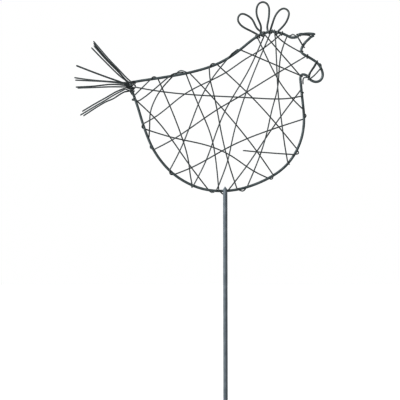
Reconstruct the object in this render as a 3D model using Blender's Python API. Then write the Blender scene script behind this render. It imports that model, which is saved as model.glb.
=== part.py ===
"""A hen garden stake: a steel rod, set in the ground, that carries a hen bent from wire.

The hen is flat. One thick wire draws its outline, thinner wire makes the comb and the tail,
and long lengths of binding wire are wound to and fro across the body, hooked over the outline.
Sizes are in millimetres from the rod's foot: x towards the beak, depth away from the viewer,
z up. The meshes are made in metres.
"""

import math
from collections import namedtuple

import bmesh
import bpy
import numpy as np

MM = 0.001
GAP = 0.3  # clearance left between two pieces that touch on the real stake

ROD_RADIUS = 2.1
ROD_TOP = 213.7
ROD_SHOULDER = 210.6
ROD_TIP_WIDTH = 0.9  # bolt cutters leave a ridge that runs from front to back
ROD_TIP_SHIFT = -0.2
ROD_LEAN = -0.35  # the rod's upper end is this far over towards the tail
ROD_SIDES = 24

OUTLINE_RADIUS = 1.15
COMB_RADIUS = 0.8
TAIL_RADIUS = 0.58
THICK_TAIL_RADIUS = 0.72
THICK_TAIL_WIRE = "tail_wire_3"
BEAK_TIE_RADIUS = 0.58
WATTLE_TIE_RADIUS = 0.5
BINDING_RADIUS = 0.5

HEN_DEPTH = ROD_RADIUS + OUTLINE_RADIUS + GAP  # the hen's plane lies behind the rod's axis

# Angles round the outline wire: 0 inside the hen, 90 in front, 180 outside, 270 behind.
FRONT = 78.0
BACK = 360.0 - FRONT
HOOK = 110.0  # the legs of a tail hairpin leave its bend at this angle and its opposite

# How finely a wire is drawn: degrees in a turn, millimetres along a span, and the points dropped
# again where the line stays within the tolerance without them.
TURN_STEP = 36.0
SPAN_STEP = 3.0
THINNING = 0.12
WIRE_BEVEL = 1  # six sides round a wire
TINY = 1e-9

# How the spans settle in depth: pulled taut for most of the rounds, pushed apart in all of them.
SETTLE_ROUNDS = 4000
TAUT_ROUNDS = 3600
TAUT_PULL = 0.5
PUSH = 0.6
SETTLE_MARGIN = 0.06
PUSHES_TAKEN_WHOLE = 2  # beyond these, the pushes that meet in one point share their effect
OWN_LENGTH = 5.0  # a wire can meet itself only this far along
OWN_POINTS = 2
LEVEL = 0.05  # two wires this near in depth have no order of their own yet
BESIDE = 0.7  # this share of the clearance apart in the front view, they lie side by side
LEAST_STIFFNESS = 1e-6

ROD_COLOUR = (0.13, 0.15, 0.16)
THICK_WIRE_COLOUR = (0.10, 0.115, 0.12)
THIN_WIRE_COLOUR = (0.12, 0.13, 0.135)
METALLIC = 0.9
ROD_ROUGHNESS = 0.42
WIRE_ROUGHNESS = 0.5
SHARP_ANGLE = 30.0  # degrees: a steeper edge on the rod is drawn sharp

# The outline, one open length whose two ends meet at the tip of the beak.
BEAK_TOP = ((89.6, 365.7), (83.0, 366.3), (79.5, 366.1), (76.5, 365.8), (73.9, 365.7), (72.1, 363.5))
BROW = ((69.0, 362.5), (66.0, 362.4), (62.4, 363.9))
CROWN = ((57.4, 366.2), (51.5, 367.8), (45.4, 368.4), (40.6, 367.3), (34.5, 365.0))
BACK_LINE = (
    (26.6, 360.0), (15.0, 350.6), (5.0, 343.4), (-8.2, 336.1), (-22.3, 331.0), (-38.3, 326.9),
    (-55.4, 323.7), (-73.3, 320.9),
)
TAIL_CORNER = ((-88.4, 318.6), (-92.9, 317.5), (-94.9, 316.2), (-94.4, 313.8), (-93.5, 310.4))
RUMP = ((-91.2, 303.0), (-87.6, 292.5), (-83.1, 277.6), (-78.3, 264.1), (-73.7, 253.5))
BELLY = (
    (-65.6, 240.5), (-53.6, 227.4), (-38.7, 217.3), (-22.7, 211.1), (-5.5, 209.0), (10.7, 210.3),
    (27.8, 215.0), (44.8, 222.8), (59.2, 233.2), (69.6, 246.7), (75.8, 261.3),
)
BREAST = ((78.4, 277.8), (77.3, 296.7), (75.9, 309.7), (75.1, 317.7), (74.8, 321.9))
CHIN = ((75.7, 324.8), (77.6, 325.5), (80.2, 324.9), (82.2, 323.5))
WATTLE = (
    (84.0, 321.2), (87.3, 318.8), (91.7, 318.2), (95.6, 320.5), (97.2, 325.3), (96.0, 330.5),
    (92.6, 336.1),
)
FACE = ((86.2, 341.0), (79.3, 345.0), (76.0, 347.8), (75.8, 350.3), (76.9, 353.3))
BEAK_UNDER = ((79.2, 356.8), (81.1, 359.0), (83.3, 361.0), (85.1, 362.8), (88.9, 364.35))
BEAK_SPLAY = 0.8  # each end leaves the hen's plane by this much, to lie beside the other

# A wire's route is a row of places. A Via is a point on it, its depth free to settle unless given.
# A Turn goes about the outline, from one place along it to another and from one angle to another,
# standing off it by the slack, and hugging it for the hold's share at each end.
Via = namedtuple("Via", "x z depth", defaults=(None,))
Turn = namedtuple("Turn", "start end from_angle to_angle slack hold", defaults=(0.0, (0.0, 0.0)))

# The binding: five lengths wound across the body from one side of the outline to the other.

BINDING = {
    "binding_wire_1": (
        Turn((70.8, 362.8), (61.7, 364.3), 110, BACK, 1.5),
        Via(56.1, 348.4), Via(51.6, 309.7), Via(46.9, 291.9), Via(41.8, 269.1), Via(35.8, 248.4),
        Turn((21.7, 212.9), (11.7, 210.5), BACK, FRONT, 1.0),
        Via(4.7, 231.6), Via(-2.8, 260.5), Via(-9.2, 293.8), Via(-12.0, 306.6), Via(-15.2, 319.7),
        Turn((-16.4, 332.9), (-8.4, 336.0), FRONT, BACK, 0.4),
        Via(29.2, 299.9),
        Turn((71.9, 250.9), (68.8, 245.3), BACK, FRONT, 1.2),
        Via(43.0, 247.1), Via(17.2, 249.4, -3.0),
    ),
    "binding_wire_2": (
        Turn((82.9, 343.0), (80.8, 344.1), 100, -282),
        Via(37.0, 317.6), Via(9.0, 300.5), Via(-4.5, 292.7), Via(-53.7, 259.8),
        Turn((-72.0, 250.4), (-77.1, 261.0), FRONT, BACK, 0.1, (0.0, 0.45)),
        Via(-75.9, 273.8), Via(-75.0, 288.2), Via(-73.0, 294.8), Via(-65.5, 309.0),
        Turn((-53.0, 324.1), (-36.3, 327.4), BACK, FRONT, 2.0),
        Via(-23.9, 314.3), Via(10.6, 275.1), Via(31.1, 248.9),
        Turn((47.7, 224.5), (42.5, 221.5), FRONT, BACK, 0.7),
        Via(28.5, 228.8), Via(5.1, 244.5), Via(-4.6, 249.5), Via(-15.8, 253.8), Via(-50.0, 261.8),
        Turn((-80.8, 270.7), (-82.6, 275.9), BACK, FRONT, 0.1),
        Via(-70.7, 282.7), Via(-40.2, 306.2), Via(0.3, 327.4), Via(19.1, 340.3), Via(36.6, 350.9),
        Turn((56.1, 366.7), (56.6, 366.5), FRONT, 400, 0.2),
    ),
    "binding_wire_3": (
        Turn((47.0, 368.4), (45.6, 368.4), -200, FRONT),
        Via(23.1, 313.9), Via(15.8, 293.2), Via(6.9, 260.8), Via(1.5, 237.1), Via(-4.4, 220.7),
        Via(-6.3, 215.9),
        Turn((-9.4, 209.1), (-17.4, 210.0), FRONT, BACK, 0.2),
        Via(-38.8, 238.9), Via(-46.9, 250.6), Via(-70.9, 282.0),
        Turn((-90.1, 299.9), (-90.9, 302.3), BACK, FRONT, 1.2),
        Via(-88.0, 299.0), Via(-84.7, 300.3), Via(-73.8, 308.5),
        Turn((-56.8, 323.5), (-51.0, 324.6), FRONT, 165, 0.3),
        Turn((-44.0, 325.9), (-39.8, 326.6), 180, BACK, 0.3),
        Via(-25.0, 290.3), Via(-16.8, 270.9), Via(-13.3, 259.6), Via(-10.5, 245.2),
        Turn((-6.6, 209.0), (2.5, 209.3), FRONT, BACK, 1.5),
        Via(21.2, 233.9), Via(44.9, 268.8),
        Turn((75.9, 310.3), (76.5, 303.8), BACK, FRONT, 0.0, (0.35, 0.35)),
        Via(68.0, 302.2), Via(29.5, 301.8), Via(-45.6, 306.2), Via(-88.2, 312.4),
        Via(-90.6, 312.9, -1.7),
    ),
    "binding_wire_4": (
        Via(-95.8, 308.8, 0.0), Via(-95.0, 308.0, 0.0),
        Turn((-92.6, 307.0), (-91.6, 304.0), 180, FRONT),
        Turn((-75.0, 320.7), (-67.6, 321.7), FRONT, BACK, 0.3),
        Via(-41.7, 256.9), Via(-37.1, 239.1), Via(-35.2, 224.9),
        Turn((-33.5, 214.8), (-32.2, 214.3), BACK, FRONT, 0.3),
        Via(-19.0, 240.6), Via(-11.8, 260.4), Via(-0.5, 288.9), Via(22.6, 328.9), Via(33.2, 351.5),
        Turn((39.4, 366.9), (38.0, 366.5), BACK, FRONT),
        Turn((75.2, 324.1), (75.4, 324.3), FRONT, BACK),
        Turn((14.9, 350.5), (12.4, 348.7), BACK, 180, 0.1),
        Turn((7.6, 345.1), (2.1, 341.6), 150, FRONT, 0.1),
        Via(-19.3, 312.1), Via(-35.0, 275.2), Via(-45.2, 250.3),
        Turn((-56.0, 229.6), (-51.2, 225.5), FRONT, BACK, 0.4),
        Via(-36.8, 231.2), Via(6.9, 254.7), Via(21.9, 261.5), Via(46.9, 270.8),
        Turn((78.4, 281.0), (77.8, 290.7), BACK, FRONT, 0.4, (0.0, 0.35)),
        Via(64.4, 303.8), Via(54.8, 316.8), Via(39.2, 346.7),
        Turn((31.2, 363.2), (30.4, 362.7), FRONT, 380),
    ),
    "binding_wire_5": (
        Turn((62.4, 236.5), (62.5, 236.6), 200, FRONT),
        Via(58.0, 262.7), Via(55.5, 282.1), Via(53.2, 299.7), Via(51.2, 331.8), Via(50.4, 350.9),
        Via(49.8, 360.9),
        Turn((49.0, 368.2), (48.3, 368.3), FRONT, BACK),
        Via(53.1, 362.4), Via(64.5, 353.9),
        Turn((75.9, 348.0), (75.7, 349.4), BACK, -20),
    ),
}

# The short length that ties the beak's two ends together and runs down behind them.
BEAK_TIE = (
    Via(84.9, 364.2, -1.4), Via(81.0, 364.9, -1.8), Via(77.5, 365.0, -1.8),
    Turn((75.0, 365.8), (72.0, 363.4), 45, -300),
    Turn((77.3, 354.0), (77.0, 353.4), 90, 150),
    Via(79.1, 352.3, -0.1),
)

# The short length that zigzags across the wattle, its first leg doubled.
WATTLE_TIE = (
    Via(77.5, 315.6, 0.0), Via(77.4, 319.2, 0.0), Via(77.9, 321.6, -0.3), Via(79.4, 322.5, -0.8),
    Via(81.0, 322.5, -1.3),
    Turn((82.3, 323.4), (82.2, 323.5), 120, 60),
    Via(84.2, 327.2), Via(86.9, 331.4), Via(89.7, 336.2),
    Turn((90.4, 338.2), (91.4, 337.4), FRONT, BACK),
    Via(90.5, 335.8), Via(87.6, 331.0), Via(84.9, 327.0),
    Turn((83.4, 321.8), (84.4, 320.8), BACK, FRONT),
    Via(87.5, 323.4), Via(91.3, 327.2),
    Turn((95.2, 331.9), (92.9, 335.8), FRONT, 215),
)

# The comb, one length with three petals. Its ends and the feet of the petals hook under the crown.
COMB = (
    Turn((33.2, 364.5), (32.8, 364.3), -70, 130),
    Via(24.4, 369.3), Via(15.4, 374.7), Via(12.4, 381.4), Via(15.6, 385.8), Via(20.3, 385.1),
    Via(27.1, 379.7), Via(31.6, 371.4),
    Turn((37.2, 366.2), (35.3, 365.4), 130, -130),
    Via(35.5, 372.9), Via(32.0, 382.5), Via(31.0, 390.3), Via(33.7, 396.5), Via(38.2, 397.8),
    Via(42.4, 394.8), Via(43.6, 387.9), Via(42.6, 378.8), Via(41.7, 371.8),
    Turn((42.4, 367.9), (45.0, 368.4), 130, -130),
    Via(47.3, 377.5), Via(52.0, 387.5), Via(58.9, 391.4), Via(62.8, 388.7), Via(62.6, 382.2),
    Via(57.5, 373.6),
    Turn((52.2, 367.6), (50.8, 367.9), 130, -70),
)

# The tail: six hairpins hooked over the rear corner of the outline, their legs fanned out.
TAIL = {
    "tail_wire_1": (
        Via(-132.0, 358.6, -2.6), Via(-125.2, 350.6), Via(-115.6, 339.5), Via(-105.6, 329.1),
        Via(-97.3, 320.5), Via(-94.3, 318.0, -4.8),
        Turn((-91.1, 318.5), (-91.1, 318.5), HOOK, -HOOK),
        Via(-95.1, 317.0, 2.7), Via(-98.5, 319.2), Via(-106.6, 328.5), Via(-115.6, 337.8),
        Via(-132.2, 357.2, 3.9),
    ),
    "tail_wire_2": (
        Via(-134.0, 352.2, -3.4), Via(-122.5, 340.3), Via(-112.5, 330.3), Via(-105.5, 323.8),
        Via(-98.0, 318.3, -2.4), Via(-93.9, 316.9, -2.9), Via(-92.4, 316.4, -2.7),
        Via(-91.1, 315.1, -1.4), Via(-90.2, 314.1, 0.4), Via(-90.8, 312.2, 2.4),
        Via(-92.4, 311.5, 4.2), Via(-95.3, 309.4, 5.1), Via(-100.9, 308.3, 3.7),
        Via(-104.4, 306.6), Via(-113.0, 301.2), Via(-117.8, 299.2), Via(-127.3, 294.0),
        Via(-142.5, 284.1, 3.4),
    ),
    "tail_wire_3": (
        Via(-149.1, 334.2, -3.8), Via(-135.9, 329.1), Via(-113.9, 321.0), Via(-103.7, 317.4),
        Turn((-94.5, 314.1), (-94.5, 314.1), HOOK, -HOOK),
        Via(-98.0, 317.4, 1.5), Via(-105.3, 326.2), Via(-115.4, 336.4), Via(-131.8, 354.6, 1.9),
    ),
    "tail_wire_4": (
        Via(-150.1, 319.7, -3.0), Via(-130.5, 318.8), Via(-113.5, 317.6),
        Via(-101.2, 315.8, -4.3),
        Turn((-94.1, 312.3), (-94.1, 312.3), HOOK, -HOOK),
        Via(-99.9, 317.3, 1.7), Via(-113.7, 318.4), Via(-135.8, 320.3), Via(-151.4, 322.5, 3.0),
    ),
    "tail_wire_5": (
        Via(-147.8, 311.8, -2.6), Via(-127.4, 312.5), Via(-113.3, 313.0),
        Via(-100.6, 312.9, -3.2),
        Turn((-93.5, 310.3), (-93.5, 310.3), HOOK, -HOOK),
        Via(-100.3, 314.7, 2.3), Via(-113.5, 315.7), Via(-128.1, 314.3), Via(-150.0, 313.0, 2.6),
    ),
    "tail_wire_6": (
        Via(-145.1, 284.6, -3.6), Via(-127.6, 295.1), Via(-121.5, 298.6), Via(-114.6, 302.9),
        Via(-100.0, 310.7, -4.0),
        Turn((-93.0, 308.5), (-93.0, 308.5), HOOK, -HOOK),
        Via(-101.4, 311.6, 2.1), Via(-109.3, 308.4), Via(-118.1, 303.4), Via(-128.4, 297.6),
        Via(-143.6, 288.6, 3.0),
    ),
}


def natural_spline(knots, values, samples):
    """A cubic curve through the values, straight at both ends."""
    count = len(knots)
    gaps = np.diff(knots)
    matrix = np.eye(count)
    right = np.zeros_like(values)
    for i in range(1, count - 1):
        matrix[i, i - 1 : i + 2] = gaps[i - 1], 2 * (gaps[i - 1] + gaps[i]), gaps[i]
        slope_before = (values[i] - values[i - 1]) / gaps[i - 1]
        slope_after = (values[i + 1] - values[i]) / gaps[i]
        right[i] = 6 * (slope_after - slope_before)
    bends = np.linalg.solve(matrix, right)
    i = np.clip(np.searchsorted(knots, samples, side="right") - 1, 0, count - 2)
    gap = gaps[i][:, None]
    after = (samples - knots[i])[:, None]
    before = gap - after
    return (
        (bends[i] * before**3 + bends[i + 1] * after**3) / (6 * gap)
        + (values[i] / gap - bends[i] * gap / 6) * before
        + (values[i + 1] / gap - bends[i + 1] * gap / 6) * after
    )


def lengths_along(points):
    return np.concatenate([[0.0], np.cumsum(np.linalg.norm(np.diff(points, axis=0), axis=1))])


def curve_through(points, step):
    """Points at about this step along the smooth curve through the given ones."""
    points = np.asarray(points, float)
    knots = lengths_along(points)
    count = max(2, int(round(knots[-1] / step)) + 1)
    return natural_spline(knots, points, np.linspace(0.0, knots[-1], count))


def thinned(points, tolerance):
    """The fewest of the points that keep the line within the tolerance."""
    chord = points[-1] - points[0]
    share = np.clip((points - points[0]) @ chord / max(chord @ chord, TINY), 0.0, 1.0)
    away = np.linalg.norm(points - points[0] - np.outer(share, chord), axis=1)
    far = int(np.argmax(away))
    if away[far] <= tolerance:
        return points[[0, -1]]
    before = thinned(points[: far + 1], tolerance)[:-1]
    return np.concatenate([before, thinned(points[far:], tolerance)])


class Path:
    """A wire that others turn about: its line, and at each sample the way out of the hen."""

    STEP = 0.5

    def __init__(self, points):
        self.points = curve_through(points, self.STEP)
        self.lengths = lengths_along(self.points)
        along = np.gradient(self.points, axis=0)
        out = np.stack([along[:, 2], np.zeros(len(along)), -along[:, 0]], axis=1)
        self.out = out / np.linalg.norm(out, axis=1)[:, None]

    def station(self, place):
        """How far along the wire it comes nearest to the (x, z) place."""
        away = np.hypot(self.points[:, 0] - place[0], self.points[:, 2] - place[1])
        return self.lengths[np.argmin(away)]

    def at(self, stations):
        centre = [np.interp(stations, self.lengths, self.points[:, i]) for i in range(3)]
        out = [np.interp(stations, self.lengths, self.out[:, i]) for i in range(3)]
        return np.stack(centre, axis=1), np.stack(out, axis=1)


def outline_path():
    """The outline wire from the upper end at the beak's tip, round the hen, to the lower."""
    stretches = (
        BEAK_TOP, BROW, CROWN, BACK_LINE, TAIL_CORNER, RUMP, BELLY, BREAST, CHIN, WATTLE, FACE,
        BEAK_UNDER,
    )
    points = [(x, 0.0, z) for stretch in stretches for x, z in stretch]
    points[0] = (points[0][0], -BEAK_SPLAY, points[0][2])
    points[-1] = (points[-1][0], BEAK_SPLAY, points[-1][2])
    return Path(points)


def turned(path, turn, reach):
    """The points of a wire that turns about the path, its centre this far from the path's."""
    sweep = turn.to_angle - turn.from_angle
    count = max(2, int(math.ceil(abs(sweep) / TURN_STEP)) + 1)
    first, last = path.station(turn.start), path.station(turn.end)
    held_first, held_last = turn.hold
    share = np.linspace(held_first, 1.0 - held_last, count)
    swept = np.linspace(0.0, 1.0, count)
    if held_first:
        share, swept = np.insert(share, 0, 0.0), np.insert(swept, 0, 0.0)
    if held_last:
        share, swept = np.append(share, 1.0), np.append(swept, 1.0)
    angles = np.radians(turn.from_angle + sweep * swept)
    centre, out = path.at(first + (last - first) * share)
    outward = -np.cos(angles) * (reach + turn.slack * np.abs(np.cos(angles)))
    depth = -np.sin(angles) * reach
    return centre + out * outward[:, None] + np.outer(depth, (0.0, 1.0, 0.0))


def laid(route, path, radius):
    """The route's points, and for each whether its depth is still free to settle."""
    reach = OUTLINE_RADIUS + radius + GAP
    points, free, span = [], [], []
    for place in route:
        if isinstance(place, Turn):
            fixed = list(turned(path, place, reach))
        elif place.depth is not None:
            fixed = [np.array((place.x, place.depth, place.z))]
        else:
            span.append((place.x, place.z))
            continue
        if points:
            ends = [points[-1]] + [np.array((x, 0.0, z)) for x, z in span] + [fixed[0]]
            stretch = np.array(ends)
            share = lengths_along(stretch[:, [0, 2]])
            share = share / max(share[-1], TINY)
            stretch[:, 1] = stretch[0, 1] + share * (stretch[-1, 1] - stretch[0, 1])
            between = curve_through(stretch, SPAN_STEP)[1:-1]
            points += list(between)
            free += [True] * len(between)
        points += fixed
        free += [False] * len(fixed)
        span = []
    return np.array(points), np.array(free)


def nearest_in_plane(a, b, c, d):
    """How near segments a-b and c-d come as seen from the front, and where along each."""
    first, second, apart = b - a, d - c, c - a
    cross = first[:, 0] * second[:, 1] - first[:, 1] * second[:, 0]
    safe = np.where(np.abs(cross) < TINY, 1.0, cross)
    s = (apart[:, 0] * second[:, 1] - apart[:, 1] * second[:, 0]) / safe
    t = (apart[:, 0] * first[:, 1] - apart[:, 1] * first[:, 0]) / safe
    meets = (np.abs(cross) > TINY) & (s >= 0) & (s <= 1) & (t >= 0) & (t <= 1)

    def onto(point, start, along):
        square = np.maximum((along * along).sum(1), TINY)
        return np.clip(((point - start) * along).sum(1) / square, 0.0, 1.0)

    zero, one = np.zeros(len(a)), np.ones(len(a))
    tries = [
        (zero, onto(a, c, second)), (one, onto(b, c, second)),
        (onto(c, a, first), zero), (onto(d, a, first), one),
    ]
    best = np.full(len(a), np.inf)
    at_first, at_second = zero.copy(), zero.copy()
    for u, v in tries:
        gap = np.linalg.norm(a + first * u[:, None] - c - second * v[:, None], axis=1)
        nearer = gap < best
        best = np.where(nearer, gap, best)
        at_first, at_second = np.where(nearer, u, at_first), np.where(nearer, v, at_second)
    return (
        np.where(meets, 0.0, best),
        np.where(meets, s, at_first),
        np.where(meets, t, at_second),
    )


def crossings(plane, along, radius, owner, free):
    """Where two stretches of wire lie near enough, as seen from the front, to touch.

    For each: the first point of both segments, how far along both they come nearest, how far
    apart they are there in the view, and how far apart their centres must be."""
    start = np.flatnonzero(owner[:-1] == owner[1:])
    middle = (plane[start] + plane[start + 1]) / 2
    reach = np.linalg.norm(plane[start + 1] - plane[start], axis=1) / 2 + radius[start]
    near = np.linalg.norm(middle[:, None] - middle[None], axis=2)
    near = near < reach[:, None] + reach[None] + GAP + SETTLE_MARGIN
    i, j = np.nonzero(np.triu(near, 1))
    i, j = start[i], start[j]
    apart = (np.abs(along[i] - along[j]) > OWN_LENGTH) & (np.abs(i - j) > OWN_POINTS)
    loose = free[i] | free[i + 1] | free[j] | free[j + 1]
    keep = ((owner[i] != owner[j]) | apart) & loose
    i, j = i[keep], j[keep]
    gap, s, t = nearest_in_plane(plane[i], plane[i + 1], plane[j], plane[j + 1])
    clear = radius[i] + radius[j] + GAP + SETTLE_MARGIN
    touch = gap < clear
    return [values[touch] for values in (i, j, s, t, gap, clear)]


def between_depths(depth, i, j, s, t):
    return (1 - s) * depth[i] + s * depth[i + 1] - (1 - t) * depth[j] - t * depth[j + 1]


def orders(depth, owner, stretch, i, j, s, t, gap, clear, need):
    """For each crossing 1.0 where the first wire passes behind the second, or -1.0.

    Two stretches keep one order, taken where they come nearest, except where they lie side by
    side and are clear already."""
    pair = stretch[i] * (stretch[-1] + 1) + stretch[j]
    lead = between_depths(depth, i, j, s, t)
    side = np.zeros(len(i))
    for key in np.unique(pair):
        members = np.flatnonzero(pair == key)
        closest = members[np.argmin(gap[members])]
        first = lead[closest]
        if abs(first) < LEVEL:
            level = depth[i[closest]]
            first = level if owner[i[closest]] > owner[j[closest]] else -level
        side[members] = 1.0 if first >= 0 else -1.0
    beside = (gap > BESIDE * clear) & (np.abs(lead) > need)
    side[beside] = np.sign(lead[beside])
    return side


def settle(wires):
    """Pulls the free spans taut in depth while every two wires that cross keep clear.

    A wire is (points, free, radius). Only depths change, so the view from the front stays."""
    points = np.concatenate([wire[0] for wire in wires])
    free = np.concatenate([wire[1] for wire in wires])
    owner = np.concatenate([np.full(len(wire[0]), i) for i, wire in enumerate(wires)])
    radius = np.concatenate([np.full(len(wire[0]), wire[2]) for wire in wires])
    along = np.concatenate([lengths_along(wire[0]) for wire in wires])
    plane, depth = points[:, [0, 2]], points[:, 1].copy()
    i, j, s, t, gap, clear = crossings(plane, along, radius, owner, free)
    need = np.sqrt(clear**2 - gap**2)
    changes = (np.diff(free.astype(int)) != 0) | (np.diff(owner) != 0)
    stretch = np.cumsum(np.concatenate([[1], changes]))
    side = orders(depth, owner, stretch, i, j, s, t, gap, clear, need)

    inner = np.flatnonzero(free)
    before = np.linalg.norm(plane[inner] - plane[inner - 1], axis=1)
    after = np.linalg.norm(plane[inner + 1] - plane[inner], axis=1)
    share = before / (before + after)
    ends = np.stack([i, i + 1, j, j + 1])
    pull = side * np.stack([1 - s, s, -(1 - t), -t])
    pull[~free[ends]] = 0.0
    stiff = (pull**2).sum(0)
    movable = stiff > LEAST_STIFFNESS
    for turn in range(SETTLE_ROUNDS):
        if turn < TAUT_ROUNDS:
            taut = depth[inner - 1] * (1 - share) + depth[inner + 1] * share
            depth[inner] += TAUT_PULL * (taut - depth[inner])
        lack = np.clip(need - side * between_depths(depth, i, j, s, t), 0.0, None)
        push = np.where(movable, PUSH * lack / np.maximum(stiff, LEAST_STIFFNESS), 0.0)
        moved = np.bincount(ends.ravel(), (pull * push).ravel(), len(depth))
        pushes = np.bincount(ends.ravel(), (np.abs(pull * push) > TINY).ravel(), len(depth))
        depth += moved / np.maximum(1.0, pushes / PUSHES_TAKEN_WHOLE)
    points[:, 1] = depth
    return np.split(points, np.cumsum([len(wire[0]) for wire in wires])[:-1])


def all_wires():
    """Every wire's name, radius and line, with the spans settled clear of each other."""
    path = outline_path()
    routes = [(name, BINDING_RADIUS, route) for name, route in BINDING.items()]
    routes += [
        ("beak_tie_wire", BEAK_TIE_RADIUS, BEAK_TIE),
        ("wattle_tie_wire", WATTLE_TIE_RADIUS, WATTLE_TIE),
        ("comb_wire", COMB_RADIUS, COMB),
    ]
    routes += [
        (name, THICK_TAIL_RADIUS if name == THICK_TAIL_WIRE else TAIL_RADIUS, route)
        for name, route in TAIL.items()
    ]
    wires = [laid(route, path, radius) + (radius,) for name, radius, route in routes]
    outline = thinned(path.points, THINNING)
    rod = np.array([(0.0, -HEN_DEPTH, 0.0), (ROD_LEAN, -HEN_DEPTH, ROD_TOP)])
    for points, radius in ((outline, OUTLINE_RADIUS), (rod, ROD_RADIUS)):
        wires.append((points, np.zeros(len(points), bool), radius))
    found = {"outline_wire": (OUTLINE_RADIUS, outline)}
    for (name, radius, _), points in zip(routes, settle(wires)):
        found[name] = (radius, thinned(points, THINNING))
    return found


def steel(name, colour, roughness):
    """Bare steel, dulled by the weather, for one piece."""
    material = bpy.data.materials.new(name)
    material.use_nodes = True
    shader = material.node_tree.nodes["Principled BSDF"]
    shader.inputs["Base Color"].default_value = (*colour, 1.0)
    shader.inputs["Metallic"].default_value = METALLIC
    shader.inputs["Roughness"].default_value = roughness
    material.diffuse_color = (*colour, 1.0)
    return material


def wire_object(name, points, radius, material):
    """A bent wire: a tube of this radius about the line, closed at both ends."""
    curve = bpy.data.curves.new(name, "CURVE")
    curve.dimensions = "3D"
    curve.bevel_depth = radius * MM
    curve.bevel_resolution = WIRE_BEVEL
    curve.use_fill_caps = True
    spline = curve.splines.new("POLY")
    spline.points.add(len(points) - 1)
    for at, (x, depth, z) in zip(spline.points, points):
        at.co = (x * MM, (depth + HEN_DEPTH) * MM, z * MM, 1.0)
    spline.use_smooth = True
    wire = bpy.data.objects.new(name, curve)
    wire.data.materials.append(material)
    bpy.context.scene.collection.objects.link(wire)
    return wire


def ring_of(mesh, half_width, shift, height):
    """A ring of the rod's vertices, squeezed to this half width, its middle moved by the shift."""
    angles = [2 * math.pi * i / ROD_SIDES for i in range(ROD_SIDES)]
    return [
        mesh.verts.new(
            ((half_width * math.cos(a) + shift) * MM, ROD_RADIUS * math.sin(a) * MM, height * MM)
        )
        for a in angles
    ]


def rod_object(material):
    """The rod: flat below, where the ground takes it, and cropped to a blunt ridge above."""
    mesh = bmesh.new()
    rings = [
        ring_of(mesh, ROD_RADIUS, 0.0, 0.0),
        ring_of(mesh, ROD_RADIUS, ROD_LEAN, ROD_SHOULDER),
        ring_of(mesh, ROD_TIP_WIDTH / 2, ROD_LEAN + ROD_TIP_SHIFT, ROD_TOP),
    ]
    mesh.faces.new(rings[0][::-1])
    mesh.faces.new(rings[-1])
    for lower, upper in zip(rings, rings[1:]):
        for i in range(ROD_SIDES):
            k = (i + 1) % ROD_SIDES
            mesh.faces.new((lower[i], lower[k], upper[k], upper[i]))
    data = bpy.data.meshes.new("stake_rod")
    mesh.to_mesh(data)
    mesh.free()
    data.shade_smooth()
    data.set_sharp_from_angle(angle=math.radians(SHARP_ANGLE))
    data.materials.append(material)
    rod = bpy.data.objects.new("stake_rod", data)
    bpy.context.scene.collection.objects.link(rod)
    return rod


def main():
    for left in list(bpy.data.objects):
        bpy.data.objects.remove(left)
    rod_object(steel("stake_rod_steel", ROD_COLOUR, ROD_ROUGHNESS))
    for name, (radius, points) in all_wires().items():
        colour = THICK_WIRE_COLOUR if radius == OUTLINE_RADIUS else THIN_WIRE_COLOUR
        wire_object(name, points, radius, steel(name + "_steel", colour, WIRE_ROUGHNESS))


if __name__ == "__main__":
    main()
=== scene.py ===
# %% [markdown]
# # A hen garden stake
# A straight steel rod stands in the ground and carries a flat hen bent from steel wire. One thick
# wire draws the outline. Thinner wire makes the comb and the tail, and long lengths of binding wire
# are wound to and fro across the body.
# The solid model gives every piece its place. It draws each wire with six sides and keeps a small
# gap between them. This scene bends the same wires again, round, touching and with their surfaces.

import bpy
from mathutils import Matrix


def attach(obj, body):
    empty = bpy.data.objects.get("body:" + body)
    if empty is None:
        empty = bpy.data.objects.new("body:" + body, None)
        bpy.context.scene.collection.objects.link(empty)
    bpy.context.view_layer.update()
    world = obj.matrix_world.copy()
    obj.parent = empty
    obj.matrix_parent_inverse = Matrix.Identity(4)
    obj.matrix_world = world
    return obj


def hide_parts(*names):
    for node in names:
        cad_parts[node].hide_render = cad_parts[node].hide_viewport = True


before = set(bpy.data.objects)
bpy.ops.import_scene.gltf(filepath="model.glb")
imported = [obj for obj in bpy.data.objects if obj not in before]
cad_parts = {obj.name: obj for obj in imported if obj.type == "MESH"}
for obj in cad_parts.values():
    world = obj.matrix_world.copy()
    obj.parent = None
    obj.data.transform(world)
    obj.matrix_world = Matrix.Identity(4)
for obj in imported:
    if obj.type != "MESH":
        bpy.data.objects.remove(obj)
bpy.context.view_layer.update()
print("solid pieces:", len(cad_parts))

# %% Libraries and the unit
import math
from collections import namedtuple

import bmesh
import bpy
import numpy as np

MM = 0.001


def put_in_scene(name, data):
    added = bpy.data.objects.new(name, data)
    bpy.context.scene.collection.objects.link(added)
    return added


# %% [markdown]
# ## Camera
# The hen is flat and is seen square on, with nothing converging, so a long lens far away fits
# better than a short one nearby. The picture covers 400 mm at the hen, one millimetre to a pixel,
# and the lens and that width fix the distance.

# %% Camera
HEN_DEPTH = 3.55 * MM
PICTURE_WIDTH = 0.4
SENSOR_WIDTH = 36.0
LENS = 200.0
PICTURE_CENTRE = (-25.5 * MM, 199.97 * MM)

camera_data = bpy.data.cameras.new("camera")
camera_data.sensor_width = SENSOR_WIDTH
camera_data.lens = LENS
camera = put_in_scene("camera", camera_data)
distance = PICTURE_WIDTH * LENS / SENSOR_WIDTH
camera.location = (PICTURE_CENTRE[0], HEN_DEPTH - distance, PICTURE_CENTRE[1])
camera.rotation_euler = (math.radians(90), 0.0, 0.0)
bpy.context.scene.camera = camera
print("camera distance, m:", round(distance, 3))

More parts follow.
